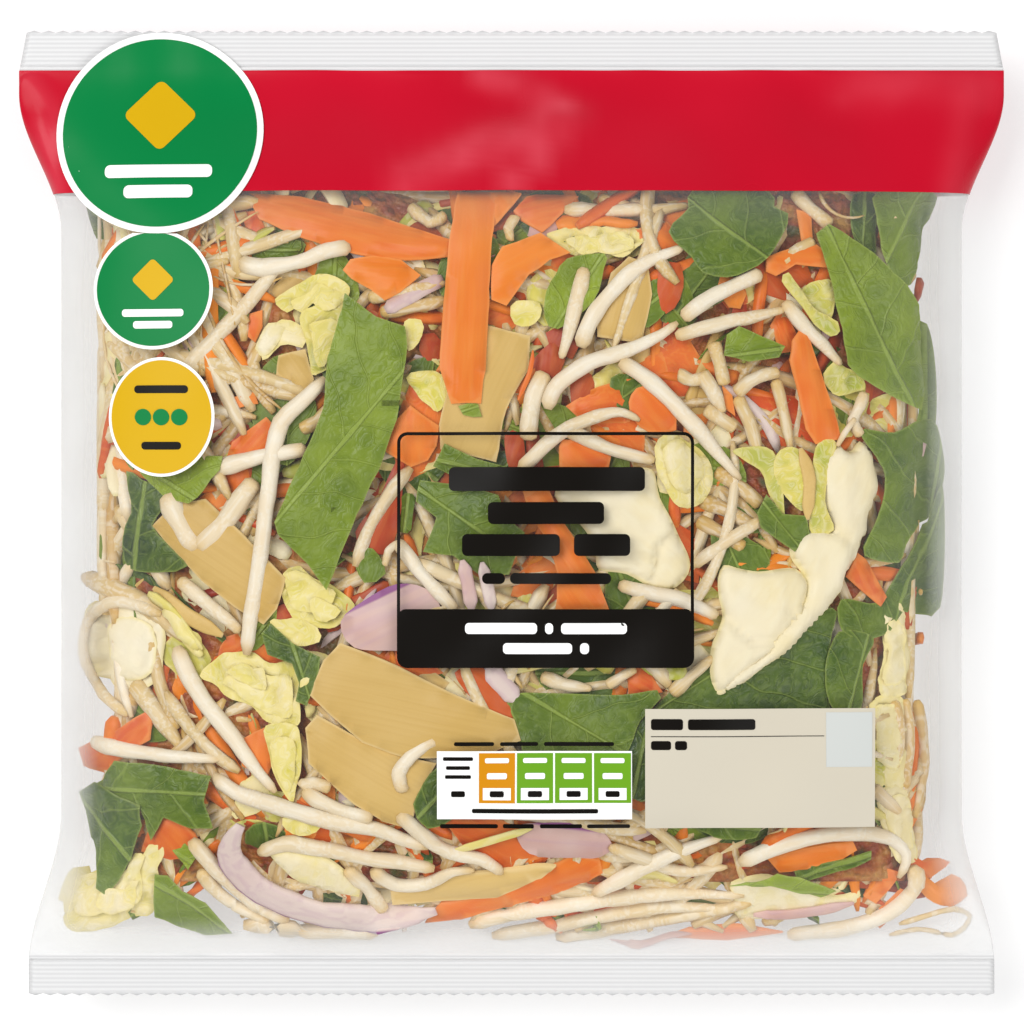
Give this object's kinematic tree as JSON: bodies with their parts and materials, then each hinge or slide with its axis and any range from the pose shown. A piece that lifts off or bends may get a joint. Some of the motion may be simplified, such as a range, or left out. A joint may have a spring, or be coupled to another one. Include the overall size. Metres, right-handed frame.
{
  "type": "bag of stir-fry vegetables",
  "caption": "Sealed clear film pillow bag filled with mixed cut vegetables, lying on its back, with crimped saw-edged end seals, a back seam and round labels.",
  "frame": {"origin": "middle of the surface that the bag lies on, under the centre of its bounding box", "axes": "+X across the bag to the right as its front is read, +Y towards the top seal, +Z out of the printed front"},
  "size_m": [0.2304, 0.226, 0.0493],
  "materials": {
    "film": "clear, slightly hazy film over mixed vegetables",
    "label_green": "smooth print",
    "label_yellow": "smooth print",
    "print": "smooth opaque print on film",
    "vegetables": "moist cut vegetables"
  },
  "bodies": {
    "root": {"filled_bag": "film", "round_label_large": "label_green", "round_label_small": "label_green", "round_label_yellow": "label_yellow"}
  },
  "joints": []
}
